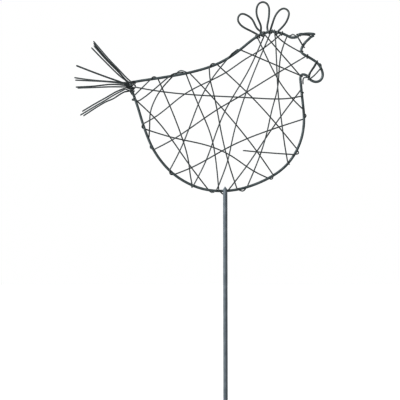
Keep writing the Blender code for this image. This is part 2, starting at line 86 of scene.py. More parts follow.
# %% [markdown]
# ## Floor and light
# The stake stands against plain white. A white sky lights it evenly from all sides, so the dark
# side of each wire keeps its true grey. The floor glows a little by itself, which makes it as
# white as the sky, so that no horizon shows and the rod's edges look the same all the way down.
# One broad soft lamp at the upper left gives the wires their lighter left side.
# A wire about a pixel wide mixes with the white beside it and comes out too light. The view's
# gamma is lowered to make up for that, so the picture is darker than the materials are.

# %% Floor
FLOOR_SIDE = 6.0
FLOOR_GLOW = 0.93
FLOOR_COLOUR = (0.08, 0.08, 0.08)  # nearly black, so the lamp adds little to the glow
FLOOR_DROP = 0.1 * MM  # keeps the floor clear of the rod's flat end

floor_mesh = bpy.data.meshes.new("floor")
half = FLOOR_SIDE / 2
corners = [(-half, -half), (half, -half), (half, half), (-half, half)]
floor_mesh.from_pydata([(x, y, -FLOOR_DROP) for x, y in corners], [], [(0, 1, 2, 3)])
floor_mesh.materials.append(bpy.data.materials.new("white_floor"))
floor_mesh.materials[0].use_nodes = True
floor_shader = floor_mesh.materials[0].node_tree.nodes["Principled BSDF"]
floor_shader.inputs["Base Color"].default_value = (*FLOOR_COLOUR, 1.0)
floor_shader.inputs["Emission Color"].default_value = (1.0, 1.0, 1.0, 1.0)
floor_shader.inputs["Emission Strength"].default_value = FLOOR_GLOW
floor_shader.inputs["Roughness"].default_value = 0.9
floor_shader.inputs["Specular IOR Level"].default_value = 0.1
floor = put_in_scene("floor", floor_mesh)
print("floor:", FLOOR_SIDE, "m across")

# %% Sky and lamp
SKY = 1.0
CONTRAST = 0.55  # the view's gamma: below 1 it darkens all but white
LAMP_POWER = 31.0
LAMP_SIZE = 0.9
LAMP_PLACE = (-1.05, -0.75, 0.8)
LAMP_AIM = (0.0, 0.0, 0.25)

world = bpy.data.worlds.new("white_sky")
world.use_nodes = True
world.node_tree.nodes["Background"].inputs["Color"].default_value = (1.0, 1.0, 1.0, 1.0)
world.node_tree.nodes["Background"].inputs["Strength"].default_value = SKY
bpy.context.scene.world = world
bpy.context.scene.view_settings.view_transform = "Standard"
bpy.context.scene.view_settings.gamma = CONTRAST

lamp_data = bpy.data.lights.new("soft_lamp", "AREA")
lamp_data.energy = LAMP_POWER
lamp_data.size = LAMP_SIZE
lamp = put_in_scene("soft_lamp", lamp_data)
lamp.location = LAMP_PLACE
aim = np.subtract(LAMP_AIM, LAMP_PLACE)
lamp.rotation_euler = (
    math.atan2(math.hypot(aim[0], aim[1]), -aim[2]), 0.0, -math.atan2(aim[0], aim[1])
)
print("lamp:", LAMP_POWER, "W,", round(float(np.linalg.norm(aim)), 2), "m away")

# %% [markdown]
# ## Wiring nodes from Python
# Materials and wires both come from node trees. Wiring them link by link is long, so one method
# makes any node, and a small class lets sums be written as sums. Each sign in an expression then
# adds one Math node.

# %% Nodes from expressions
class Wired:
    """What a node gives. Arithmetic on it adds Math nodes to the same tree."""

    def __init__(self, maker, socket):
        self.maker = maker
        self.socket = socket

    def maths(self, operation, *values):
        sockets = dict(enumerate(values))
        return self.maker.add("ShaderNodeMath", {"operation": operation}, sockets)

    def __add__(self, other):
        return self.maths("ADD", self, other)

    def __radd__(self, other):
        return self.maths("ADD", other, self)

    def __sub__(self, other):
        return self.maths("SUBTRACT", self, other)

    def __rsub__(self, other):
        return self.maths("SUBTRACT", other, self)

    def __mul__(self, other):
        return self.maths("MULTIPLY", self, other)

    def __truediv__(self, other):
        return self.maths("DIVIDE", self, other)

    def __rtruediv__(self, other):
        return self.maths("DIVIDE", other, self)

    def least(self, other):
        return self.maths("MINIMUM", self, other)

    def most(self, other):
        return self.maths("MAXIMUM", self, other)


class Maker:
    """Adds nodes to one tree."""

    def __init__(self, tree):
        self.tree = tree

    def add(self, kind, settings=None, sockets=None, gives=0):
        """A node of this kind. Settings come first, then the value or link of each socket."""
        node = self.tree.nodes.new(kind)
        for name, value in (settings or {}).items():
            if name == "stops":
                self.set_stops(node.color_ramp, value)
            elif name == "items":
                for item_kind, item_name in value:
                    node.capture_items.new(item_kind, item_name)
            else:
                setattr(node, name, value)
        for key, value in (sockets or {}).items():
            socket = self.find(node.inputs, key)
            if isinstance(value, Wired):
                self.tree.links.new(value.socket, socket)
            else:
                socket.default_value = value
        return Wired(self, self.find(node.outputs, gives)) if node.outputs else node

    def find(self, sockets, key):
        """A socket by its number, its identifier, or its name where that is the only one."""
        named = {socket.identifier: socket for socket in sockets}
        return named[key] if key in named else sockets[key]

    def set_stops(self, ramp, stops):
        while len(ramp.elements) < len(stops):
            ramp.elements.new(1.0)
        for element, (place, shade) in zip(ramp.elements, stops):
            element.position = place
            element.color = (shade, shade, shade, 1.0)

    def also(self, wired, name):
        """Another output of the node that this one comes from."""
        return Wired(self, self.find(wired.socket.node.outputs, name))

    def colour_between(self, share, first, second):
        sockets = {"Factor_Float": share, "A_Color": first, "B_Color": second}
        return self.add("ShaderNodeMix", {"data_type": "RGBA"}, sockets, gives="Result_Color")

    def vector_maths(self, operation, *values, gives=0):
        sockets = dict(enumerate(values))
        return self.add("ShaderNodeVectorMath", {"operation": operation}, sockets, gives)


print("node helpers ready")

# %% [markdown]
# ## Steel
# The colour suggests bare steel with a thin, matt, blue-grey skin of oxide. Nothing finer can be
# seen, so the rest is made up in keeping with it. A drawn wire has faint lines along its length.
# They have to follow each bend, so every wire carries its own coordinates, named wire_place:
# across the wire in x and y, and along it in z. Blotches in the skin don't follow the wire, so
# they read the object's coordinates. Where a wire is bent tightly the skin rubs off, and a second
# attribute, named bend, says where.

# %% Steel materials
EDGE_TINT = (0.35, 0.37, 0.38)  # the skin keeps the wires' far sides from shining
SPECULAR = 0.3
LINE_STRETCH = 0.02  # how fast the drawn lines vary along the wire, compared with across it
BLOTCH_SCALE = 140.0
GRAIN_SCALE = 5200.0
PATCH_STOPS = [(0.38, 0.0), (0.66, 1.0)]
WORN_BY_BEND, WORN_BY_PATCH, WORN_BY_LINE = 0.35, 0.3, 0.5
LINE_SHARE = 0.7  # of the surface's relief. The rest is grain
RELIEF_STRENGTH = 0.35
RELIEF_DEPTH = 0.04 * MM
ROUGHER_PATCH, SMOOTHER_WORN, ROUGHNESS_GRAIN = 0.1, 0.14, 0.1
METAL_IN_WORN = 0.3


def steel(name, skin, rubbed, roughness, metallic, line_width):
    """Drawn steel: a dark skin with lighter rubbed metal showing through it."""
    material = bpy.data.materials.new(name)
    material.use_nodes = True
    make = Maker(material.node_tree)
    shader = material.node_tree.nodes["Principled BSDF"]
    place = make.add("ShaderNodeAttribute", {"attribute_name": "wire_place"}, gives="Vector")
    bend = make.add("ShaderNodeAttribute", {"attribute_name": "bend"}, gives="Fac")
    around = make.add("ShaderNodeTexCoord", gives="Object")

    stretched = make.add(
        "ShaderNodeMapping", sockets={"Vector": place, "Scale": (1.0, 1.0, LINE_STRETCH)}
    )
    lines = make.add(
        "ShaderNodeTexNoise", {}, {"Vector": stretched, "Scale": 1.0 / line_width, "Detail": 3.0}
    )
    blotch = make.add(
        "ShaderNodeTexNoise", {},
        {"Vector": around, "Scale": BLOTCH_SCALE, "Detail": 4.0, "Roughness": 0.6},
    )
    grain = make.add(
        "ShaderNodeTexNoise", {}, {"Vector": place, "Scale": GRAIN_SCALE, "Detail": 2.0}
    )
    patches = make.add("ShaderNodeValToRGB", {"stops": PATCH_STOPS}, {"Fac": blotch})
    patches = make.add("ShaderNodeRGBToBW", {}, {"Color": patches})

    worn = bend * WORN_BY_BEND + patches * WORN_BY_PATCH + (lines - 0.5) * WORN_BY_LINE
    worn = worn.most(0.0).least(1.0)
    colour = make.colour_between(worn, (*skin, 1.0), (*rubbed, 1.0))
    surface = make.add(
        "ShaderNodeBump", {},
        {"Strength": RELIEF_STRENGTH, "Distance": RELIEF_DEPTH,
         "Height": lines * LINE_SHARE + grain * (1.0 - LINE_SHARE)},
    )
    links = material.node_tree.links
    links.new(colour.socket, shader.inputs["Base Color"])
    sheen = roughness + patches * ROUGHER_PATCH - worn * SMOOTHER_WORN
    sheen = sheen + (grain - 0.5) * ROUGHNESS_GRAIN
    links.new(sheen.socket, shader.inputs["Roughness"])
    links.new((metallic + worn * METAL_IN_WORN).socket, shader.inputs["Metallic"])
    links.new(surface.socket, shader.inputs["Normal"])
    shader.inputs["Specular IOR Level"].default_value = SPECULAR
    shader.inputs["Specular Tint"].default_value = (*EDGE_TINT, 1.0)
    return material


rod_steel = steel(
    "rod_steel", skin=(0.161, 0.181, 0.196), rubbed=(0.332, 0.354, 0.373),
    roughness=0.6, metallic=0.25, line_width=0.35 * MM,
)
thick_steel = steel(
    "thick_wire_steel", skin=(0.109, 0.126, 0.130), rubbed=(0.254, 0.277, 0.282),
    roughness=0.52, metallic=0.4, line_width=0.2 * MM,
)
thin_steel = steel(
    "thin_wire_steel", skin=(0.099, 0.109, 0.111), rubbed=(0.228, 0.242, 0.242),
    roughness=0.52, metallic=0.4, line_width=0.1 * MM,
)
print("steels:", rod_steel.name, thick_steel.name, thin_steel.name)

# %% [markdown]
# ## One node tree for every wire
# A wire is a round section swept along its route, so one tree makes them all: the route's points
# become a smooth curve, a slight waver is added, and a circle is swept along it. The tree also
# slants both cut ends, as side cutters leave them, and writes the wire_place attribute.

# %% The wire tree
END_REACH = 1.6  # the cutters shape the wire's last stretch, this many radii long
END_PINCH = 0.22  # they also squeeze it, by this share of its radius


def wire_tree():
    """Gives the tree and its inputs, each name with the identifier that a modifier needs."""
    tree = bpy.data.node_groups.new("wire_along_route", "GeometryNodeTree")
    kinds = {
        "Route": "NodeSocketGeometry", "Radius": "NodeSocketFloat", "Sides": "NodeSocketInt",
        "Step": "NodeSocketFloat", "Waver": "NodeSocketFloat", "Waver Length": "NodeSocketFloat",
        "Seed": "NodeSocketFloat", "Cut Slant": "NodeSocketFloat", "Steel": "NodeSocketMaterial",
    }
    faces = tree.interface
    ids = {
        name: faces.new_socket(name, in_out="INPUT", socket_type=kind).identifier
        for name, kind in kinds.items()
    }
    faces.new_socket("Wire", in_out="OUTPUT", socket_type="NodeSocketGeometry")
    make = Maker(tree)
    given = make.add("NodeGroupInput")
    value = {name: make.also(given, name) for name in kinds}

    curve = make.add("GeometryNodeMeshToCurve", {}, {"Mesh": value["Route"]})
    curve = make.add(
        "GeometryNodeCurveSplineType", {"spline_type": "CATMULL_ROM"}, {"Curve": curve}
    )
    curve = make.add(
        "GeometryNodeResampleCurve", {"mode": "LENGTH"}, {"Curve": curve, "Length": value["Step"]}
    )
    noise = make.add(
        "ShaderNodeTexNoise", {"noise_dimensions": "4D"},
        {"Vector": make.add("GeometryNodeInputPosition"), "W": value["Seed"],
         "Scale": 1.0 / value["Waver Length"], "Detail": 1.0},
        gives="Color",
    )
    centred = make.vector_maths("SUBTRACT", noise, (0.5, 0.5, 0.5))
    waver = make.add(
        "ShaderNodeVectorMath", {"operation": "SCALE"}, {0: centred, "Scale": value["Waver"]}
    )
    curve = make.add("GeometryNodeSetPosition", {}, {"Geometry": curve, "Offset": waver})

    measured = make.add("GeometryNodeCaptureAttribute", {
        "items": [
            ("VECTOR", "centre"), ("VECTOR", "tangent"), ("FLOAT", "along"), ("FLOAT", "whole"),
        ],
    }, {
        "Geometry": curve,
        "centre": make.add("GeometryNodeInputPosition"),
        "tangent": make.add("GeometryNodeInputTangent"),
        "along": make.add("GeometryNodeSplineParameter", gives="Length"),
        "whole": make.add("GeometryNodeSplineLength", gives="Length"),
    })
    circle = make.add(
        "GeometryNodeCurvePrimitiveCircle", {},
        {"Resolution": value["Sides"], "Radius": value["Radius"]},
    )
    section = make.add(
        "GeometryNodeCaptureAttribute", {"items": [("VECTOR", "across")]},
        {"Geometry": circle, "across": make.add("GeometryNodeInputPosition")},
    )
    tube = make.add(
        "GeometryNodeCurveToMesh", {},
        {"Curve": measured, "Profile Curve": section, "Fill Caps": True},
    )

    along, whole = make.also(measured, "along"), make.also(measured, "whole")
    across = make.also(section, "across")
    sideways = make.add("ShaderNodeSeparateXYZ", {}, {"Vector": across})
    updown = make.also(sideways, "Y")
    to_end = along.least(whole - along)
    near_end = (1.0 - to_end / (value["Radius"] * END_REACH)).most(0.0)
    outwards = make.add("ShaderNodeMath", {"operation": "SIGN"}, {0: along - whole * 0.5})
    slant = make.add("ShaderNodeVectorMath", {"operation": "SCALE"}, {
        0: make.also(measured, "tangent"),
        "Scale": (sideways - value["Radius"]) * outwards * near_end * value["Cut Slant"],
    })
    inward = make.vector_maths(
        "SUBTRACT", make.also(measured, "centre"), make.add("GeometryNodeInputPosition")
    )
    pinch = make.add(
        "ShaderNodeVectorMath", {"operation": "SCALE"}, {0: inward, "Scale": near_end * END_PINCH}
    )
    tube = make.add(
        "GeometryNodeSetPosition", {},
        {"Geometry": tube, "Offset": make.vector_maths("ADD", slant, pinch)},
    )
    place = make.add("ShaderNodeCombineXYZ", {}, {"X": sideways, "Y": updown, "Z": along})
    tube = make.add(
        "GeometryNodeStoreNamedAttribute", {"data_type": "FLOAT_VECTOR", "domain": "POINT"},
        {"Geometry": tube, "Name": "wire_place", "Value": place},
    )
    tube = make.add("GeometryNodeSetShadeSmooth", {}, {"Geometry": tube, "Shade Smooth": True})
    tube = make.add("GeometryNodeRealizeInstances", {}, {"Geometry": tube})
    tube = make.add("GeometryNodeSetMaterial", {}, {"Geometry": tube, "Material": value["Steel"]})
    make.add("NodeGroupOutput", {}, {"Wire": tube})
    return tree, ids


wire_nodes, wire_inputs = wire_tree()
print("wire tree:", len(wire_nodes.nodes), "nodes, inputs", list(wire_inputs))

# %% [markdown]
# ## From a route to a finished wire
# The route goes in as a mesh of points and edges. Each point also gets its bend, which is how
# sharply the wire turns there. The modifier's result is then kept as a plain mesh, so that the
# piece has no live modifier left when it joins the frame.

# %% Bend a wire
CAP_ANGLE = math.radians(50)
TIGHT = 4.0  # a bend of this many wire radii or less counts as fully tight
WAVER_LENGTH = 14.0
CUT_SLANT = 0.45


def bend_of(points, radius):
    """0 on a straight stretch, 1 where the wire turns tightly."""
    before, after = points[1:-1] - points[:-2], points[2:] - points[1:-1]
    lengths = np.linalg.norm(before, axis=1), np.linalg.norm(after, axis=1)
    cosine = (before * after).sum(1) / np.maximum(lengths[0] * lengths[1], 1e-9)
    turn = np.arccos(np.clip(cosine, -1.0, 1.0))
    sharpness = turn / ((lengths[0] + lengths[1]) / 2) * radius * TIGHT
    return np.concatenate([[0.0], np.clip(sharpness, 0.0, 1.0), [0.0]])


def wire_piece(name, points, radius, sides, step, waver, seed, steel_used, node):
    """A wire along these points, in millimetres behind the rod, that stands for a solid node."""
    points = np.asarray(points, float)
    route = bpy.data.meshes.new(name + "_route")
    placed = [(x * MM, depth * MM + HEN_DEPTH, z * MM) for x, depth, z in points]
    route.from_pydata(placed, [(i, i + 1) for i in range(len(placed) - 1)], [])
    bends = route.attributes.new("bend", "FLOAT", "POINT")
    bends.data.foreach_set("value", bend_of(points, radius))
    guide = put_in_scene(name + "_guide", route)
    modifier = guide.modifiers.new("wire", "NODES")
    modifier.node_group = wire_nodes
    values = {
        "Radius": radius * MM, "Sides": sides, "Step": step * MM, "Waver": waver * MM,
        "Waver Length": WAVER_LENGTH * MM, "Seed": float(seed), "Cut Slant": CUT_SLANT,
        "Steel": steel_used,
    }
    for key, value in values.items():
        modifier[wire_inputs[key]] = value
    seen = guide.evaluated_get(bpy.context.evaluated_depsgraph_get())
    mesh = bpy.data.meshes.new_from_object(seen)
    bpy.data.objects.remove(guide)
    mesh.name = name
    mesh.set_sharp_from_angle(angle=CAP_ANGLE)
    piece = put_in_scene(name, mesh)
    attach(piece, "root")
    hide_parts(node)
    return piece


print("wire maker ready")

# %% [markdown]
# ## The outline's route
# All places are in millimetres from the rod's foot, x towards the beak and z up, and are the same
# as in the solid model. The outline is one wire. It starts at the tip of the beak, runs back over
# the crown and down the back to the corner that holds the tail, and returns under the belly. Its
# two ends lie beside each other at the beak.

# %% Outline places
OUTLINE_RADIUS = 1.15
COMB_RADIUS = 0.8
TAIL_RADIUS = 0.58
THICK_TAIL_RADIUS = 0.72
THICK_TAIL_WIRE = "tail_wire_3"
BEAK_TIE_RADIUS = 0.58
WATTLE_TIE_RADIUS = 0.5
BINDING_RADIUS = 0.5
ROD_RADIUS = 2.1
ROD_TOP = 213.7
ROD_LEAN = -0.35  # the rod's upper end is this far over towards the tail

BEAK_TOP = (
    (89.6, 365.7), (83.0, 366.3), (79.5, 366.1), (76.5, 365.8), (73.9, 365.7), (72.1, 363.5),
)
BROW = ((69.0, 362.5), (66.0, 362.4), (62.4, 363.9))
CROWN = ((57.4, 366.2), (51.5, 367.8), (45.4, 368.4), (40.6, 367.3), (34.5, 365.0))
BACK_LINE = (
    (26.6, 360.0), (15.0, 350.6), (5.0, 343.4), (-8.2, 336.1), (-22.3, 331.0), (-38.3, 326.9),
    (-55.4, 323.7), (-73.3, 320.9),
)
TAIL_CORNER = ((-88.4, 318.6), (-92.9, 317.5), (-94.9, 316.2), (-94.4, 313.8), (-93.5, 310.4))
RUMP = ((-91.2, 303.0), (-87.6, 292.5), (-83.1, 277.6), (-78.3, 264.1), (-73.7, 253.5))
BELLY = (
    (-65.6, 240.5), (-53.6, 227.4), (-38.7, 217.3), (-22.7, 211.1), (-5.5, 209.0), (10.7, 210.3),
    (27.8, 215.0), (44.8, 222.8), (59.2, 233.2), (69.6, 246.7), (75.8, 261.3),
)
BREAST = ((78.4, 277.8), (77.3, 296.7), (75.9, 309.7), (75.1, 317.7), (74.8, 321.9))
CHIN = ((75.7, 324.8), (77.6, 325.5), (80.2, 324.9), (82.2, 323.5))
WATTLE = (
    (84.0, 321.2), (87.3, 318.8), (91.7, 318.2), (95.6, 320.5), (97.2, 325.3), (96.0, 330.5),
    (92.6, 336.1),
)
FACE = ((86.2, 341.0), (79.3, 345.0), (76.0, 347.8), (75.8, 350.3), (76.9, 353.3))
BEAK_UNDER = ((79.2, 356.8), (81.1, 359.0), (83.3, 361.0), (85.1, 362.8), (88.9, 364.35))
BEAK_SPLAY = 0.8  # each end leaves the hen's plane by this much, to lie beside the other

print("outline radius, mm:", OUTLINE_RADIUS)

# %% [markdown]
# ## Smooth curves through the places
# A bent wire has no corners, so a cubic curve runs through the places, straight at both ends. The
# outline also has to tell, at each of its points, which way leads out of the hen, because the
# other wires turn about it.

# %% Curves
TINY = 1e-9


def natural_spline(knots, values, samples):
    """A cubic curve through the values, straight at both ends."""
    count = len(knots)
    gaps = np.diff(knots)
    matrix = np.eye(count)
    right = np.zeros_like(values)
    for i in range(1, count - 1):
        matrix[i, i - 1 : i + 2] = gaps[i - 1], 2 * (gaps[i - 1] + gaps[i]), gaps[i]
        slope_before = (values[i] - values[i - 1]) / gaps[i - 1]
        slope_after = (values[i + 1] - values[i]) / gaps[i]
        right[i] = 6 * (slope_after - slope_before)
    bends = np.linalg.solve(matrix, right)
    i = np.clip(np.searchsorted(knots, samples, side="right") - 1, 0, count - 2)
    gap = gaps[i][:, None]
    after = (samples - knots[i])[:, None]
    before = gap - after
    return (
        (bends[i] * before**3 + bends[i + 1] * after**3) / (6 * gap)
        + (values[i] / gap - bends[i] * gap / 6) * before
        + (values[i + 1] / gap - bends[i + 1] * gap / 6) * after
    )


def lengths_along(points):
    return np.concatenate([[0.0], np.cumsum(np.linalg.norm(np.diff(points, axis=0), axis=1))])


def curve_through(points, step):
    """Points at about this step along the smooth curve through the given ones."""
    points = np.asarray(points, float)
    knots = lengths_along(points)
    count = max(2, int(round(knots[-1] / step)) + 1)
    return natural_spline(knots, points, np.linspace(0.0, knots[-1], count))


class Path:
    """A wire that others turn about: its line, and at each sample the way out of the hen."""

    STEP = 0.5

    def __init__(self, points):
        self.points = curve_through(points, self.STEP)
        self.lengths = lengths_along(self.points)
        along = np.gradient(self.points, axis=0)
        out = np.stack([along[:, 2], np.zeros(len(along)), -along[:, 0]], axis=1)
        self.out = out / np.linalg.norm(out, axis=1)[:, None]

    def station(self, place):
        """How far along the wire it comes nearest to the (x, z) place."""
        away = np.hypot(self.points[:, 0] - place[0], self.points[:, 2] - place[1])
        return self.lengths[np.argmin(away)]

    def at(self, stations):
        centre = [np.interp(stations, self.lengths, self.points[:, i]) for i in range(3)]
        out = [np.interp(stations, self.lengths, self.out[:, i]) for i in range(3)]
        return np.stack(centre, axis=1), np.stack(out, axis=1)


def outline_path():
    """The outline wire from the upper end at the beak's tip, round the hen, to the lower."""
    stretches = (
        BEAK_TOP, BROW, CROWN, BACK_LINE, TAIL_CORNER, RUMP, BELLY, BREAST, CHIN, WATTLE, FACE,
        BEAK_UNDER,
    )
    points = [(x, 0.0, z) for stretch in stretches for x, z in stretch]
    points[0] = (points[0][0], -BEAK_SPLAY, points[0][2])
    points[-1] = (points[-1][0], BEAK_SPLAY, points[-1][2])
    return Path(points)


hen = outline_path()
print("outline length, mm:", round(float(hen.lengths[-1]), 1))

# %% [markdown]
# ## How a wound wire is described
# A wound wire is a row of places. A Via is a point that it passes. A Turn takes it about the
# outline, from one place along it to another, and from one angle to another: 0 inside the hen, 90
# in front, 180 outside, 270 behind. With real wire the turns are pulled tight, so here they keep
# only a hair's breadth from the outline. A Via's depth is free to settle unless it is given. A
# Turn stands off the outline by its slack, and stays beside it for the hold's share at each end.

# %% Turns and spans
GAP = 0.02
FRONT = 78.0
BACK = 360.0 - FRONT
HOOK = 110.0  # the legs of a tail hairpin leave its bend at this angle and its opposite
TURN_STEP = 20.0
SPAN_STEP = 2.0

Via = namedtuple("Via", "x z depth", defaults=(None,))
Turn = namedtuple("Turn", "start end from_angle to_angle slack hold", defaults=(0.0, (0.0, 0.0)))


def turned(path, turn, reach):
    """The points of a wire that turns about the path, its centre this far from the path's."""
    sweep = turn.to_angle - turn.from_angle
    count = max(2, int(math.ceil(abs(sweep) / TURN_STEP)) + 1)
    first, last = path.station(turn.start), path.station(turn.end)
    held_first, held_last = turn.hold
    share = np.linspace(held_first, 1.0 - held_last, count)
    swept = np.linspace(0.0, 1.0, count)
    if held_first:
        share, swept = np.insert(share, 0, 0.0), np.insert(swept, 0, 0.0)
    if held_last:
        share, swept = np.append(share, 1.0), np.append(swept, 1.0)
    angles = np.radians(turn.from_angle + sweep * swept)
    centre, out = path.at(first + (last - first) * share)
    outward = -np.cos(angles) * (reach + turn.slack * np.abs(np.cos(angles)))
    depth = -np.sin(angles) * reach
    return centre + out * outward[:, None] + np.outer(depth, (0.0, 1.0, 0.0))


def laid(route, path, radius):
    """The route's points, and for each whether its depth is still free to settle."""
    reach = OUTLINE_RADIUS + radius + GAP
    points, free, span = [], [], []
    for place in route:
        if isinstance(place, Turn):
            fixed = list(turned(path, place, reach))
        elif place.depth is not None:
            fixed = [np.array((place.x, place.depth, place.z))]
        else:
            span.append((place.x, place.z))
            continue
        if points:
            ends = [points[-1]] + [np.array((x, 0.0, z)) for x, z in span] + [fixed[0]]
            stretch = np.array(ends)
            share = lengths_along(stretch[:, [0, 2]])
            share = share / max(share[-1], TINY)
            stretch[:, 1] = stretch[0, 1] + share * (stretch[-1, 1] - stretch[0, 1])
            between = curve_through(stretch, SPAN_STEP)[1:-1]
            points += list(between)
            free += [True] * len(between)
        points += fixed
        free += [False] * len(fixed)
        span = []
    return np.array(points), np.array(free)


print("turn step, degrees:", TURN_STEP)

# %% [markdown]
# ## Which wire passes in front
# From the front a crossing looks the same whichever wire is nearer, but seen from the side the
# wires must not cut through each other. Each free span is pulled taut in depth, and wherever two
# wires cross they push each other apart until they touch and no more. Only depths change, so the
# view from the front stays as it was drawn.

# %% Crossings
SETTLE_MARGIN = 0.02
OWN_LENGTH = 5.0  # a wire can meet itself only this far along
OWN_POINTS = 3
LEVEL = 0.05  # two wires this near in depth have no order of their own yet
BESIDE = 0.7  # this share of the clearance apart in the front view, they lie side by side
LEAST_STIFFNESS = 1e-6
SETTLE_ROUNDS = 4000
TAUT_ROUNDS = 3600
TAUT_PULL = 0.5
PUSH = 0.6
PUSHES_TAKEN_WHOLE = 2  # beyond these, the pushes that meet in one point share their effect


def nearest_in_plane(a, b, c, d):
    """How near segments a-b and c-d come as seen from the front, and where along each."""
    first, second, apart = b - a, d - c, c - a
    cross = first[:, 0] * second[:, 1] - first[:, 1] * second[:, 0]
    safe = np.where(np.abs(cross) < TINY, 1.0, cross)
    s = (apart[:, 0] * second[:, 1] - apart[:, 1] * second[:, 0]) / safe
    t = (apart[:, 0] * first[:, 1] - apart[:, 1] * first[:, 0]) / safe
    meets = (np.abs(cross) > TINY) & (s >= 0) & (s <= 1) & (t >= 0) & (t <= 1)

    def onto(point, start, along):
        square = np.maximum((along * along).sum(1), TINY)
        return np.clip(((point - start) * along).sum(1) / square, 0.0, 1.0)

    zero, one = np.zeros(len(a)), np.ones(len(a))
    tries = [
        (zero, onto(a, c, second)), (one, onto(b, c, second)),
        (onto(c, a, first), zero), (onto(d, a, first), one),
    ]
    best = np.full(len(a), np.inf)
    at_first, at_second = zero.copy(), zero.copy()
    for u, v in tries:
        gap = np.linalg.norm(a + first * u[:, None] - c - second * v[:, None], axis=1)
        nearer = gap < best
        best = np.where(nearer, gap, best)
        at_first, at_second = np.where(nearer, u, at_first), np.where(nearer, v, at_second)
    return (
        np.where(meets, 0.0, best),
        np.where(meets, s, at_first),
        np.where(meets, t, at_second),
    )


def crossings(plane, along, radius, owner, free):
    """Where two stretches of wire lie near enough, as seen from the front, to touch.

    For each: the first point of both segments, how far along both they come nearest, how far
    apart they are there in the view, and how far apart their centres must be."""
    start = np.flatnonzero(owner[:-1] == owner[1:])
    middle = (plane[start] + plane[start + 1]) / 2
    reach = np.linalg.norm(plane[start + 1] - plane[start], axis=1) / 2 + radius[start]
    near = np.linalg.norm(middle[:, None] - middle[None], axis=2)
    near = near < reach[:, None] + reach[None] + GAP + SETTLE_MARGIN
    i, j = np.nonzero(np.triu(near, 1))
    i, j = start[i], start[j]
    apart = (np.abs(along[i] - along[j]) > OWN_LENGTH) & (np.abs(i - j) > OWN_POINTS)
    loose = free[i] | free[i + 1] | free[j] | free[j + 1]
    keep = ((owner[i] != owner[j]) | apart) & loose
    i, j = i[keep], j[keep]
    gap, s, t = nearest_in_plane(plane[i], plane[i + 1], plane[j], plane[j + 1])
    clear = radius[i] + radius[j] + GAP + SETTLE_MARGIN
    touch = gap < clear
    return [values[touch] for values in (i, j, s, t, gap, clear)]


def between_depths(depth, i, j, s, t):
    return (1 - s) * depth[i] + s * depth[i + 1] - (1 - t) * depth[j] - t * depth[j + 1]


def orders(depth, owner, stretch, i, j, s, t, gap, clear, need):
    """For each crossing 1.0 where the first wire passes behind the second, or -1.0.

    Two stretches keep one order, taken where they come nearest, except where they lie side by
    side and are clear already."""
    pair = stretch[i] * (stretch[-1] + 1) + stretch[j]
    lead = between_depths(depth, i, j, s, t)
    side = np.zeros(len(i))
    for key in np.unique(pair):
        members = np.flatnonzero(pair == key)
        closest = members[np.argmin(gap[members])]
        first = lead[closest]
        if abs(first) < LEVEL:
            level = depth[i[closest]]
            first = level if owner[i[closest]] > owner[j[closest]] else -level
        side[members] = 1.0 if first >= 0 else -1.0
    beside = (gap > BESIDE * clear) & (np.abs(lead) > need)
    side[beside] = np.sign(lead[beside])
    return side


def settle(wires):
    """Pulls the free spans taut in depth while every two wires that cross keep clear.

    A wire is (points, free, radius). Only depths change, so the view from the front stays."""
    points = np.concatenate([wire[0] for wire in wires])
    free = np.concatenate([wire[1] for wire in wires])
    owner = np.concatenate([np.full(len(wire[0]), i) for i, wire in enumerate(wires)])
    radius = np.concatenate([np.full(len(wire[0]), wire[2]) for wire in wires])
    along = np.concatenate([lengths_along(wire[0]) for wire in wires])
    plane, depth = points[:, [0, 2]], points[:, 1].copy()
    i, j, s, t, gap, clear = crossings(plane, along, radius, owner, free)
    need = np.sqrt(clear**2 - gap**2)
    changes = (np.diff(free.astype(int)) != 0) | (np.diff(owner) != 0)
    stretch = np.cumsum(np.concatenate([[1], changes]))
    side = orders(depth, owner, stretch, i, j, s, t, gap, clear, need)

    inner = np.flatnonzero(free)
    before = np.linalg.norm(plane[inner] - plane[inner - 1], axis=1)
    after = np.linalg.norm(plane[inner + 1] - plane[inner], axis=1)
    share = before / (before + after)
    ends = np.stack([i, i + 1, j, j + 1])
    pull = side * np.stack([1 - s, s, -(1 - t), -t])
    pull[~free[ends]] = 0.0
    stiff = (pull**2).sum(0)
    movable = stiff > LEAST_STIFFNESS
    for turn in range(SETTLE_ROUNDS):
        if turn < TAUT_ROUNDS:
            taut = depth[inner - 1] * (1 - share) + depth[inner + 1] * share
            depth[inner] += TAUT_PULL * (taut - depth[inner])
        lack = np.clip(need - side * between_depths(depth, i, j, s, t), 0.0, None)
        push = np.where(movable, PUSH * lack / np.maximum(stiff, LEAST_STIFFNESS), 0.0)
        moved = np.bincount(ends.ravel(), (pull * push).ravel(), len(depth))
        pushes = np.bincount(ends.ravel(), (np.abs(pull * push) > TINY).ravel(), len(depth))
        depth += moved / np.maximum(1.0, pushes / PUSHES_TAKEN_WHOLE)
    points[:, 1] = depth
    return np.split(points, np.cumsum([len(wire[0]) for wire in wires])[:-1])


print("settling rounds:", SETTLE_ROUNDS)

# %% [markdown]
# ## The binding wires
# Five lengths of thin binding wire cross the body. Each hooks over the outline, turns about it and
# sets off in a new direction. Two short lengths tie the beak's ends together and fill the wattle.
# The one in the wattle goes up, round the outline and down again, so that its first leg is
# doubled, and then round the chin to a second leg.

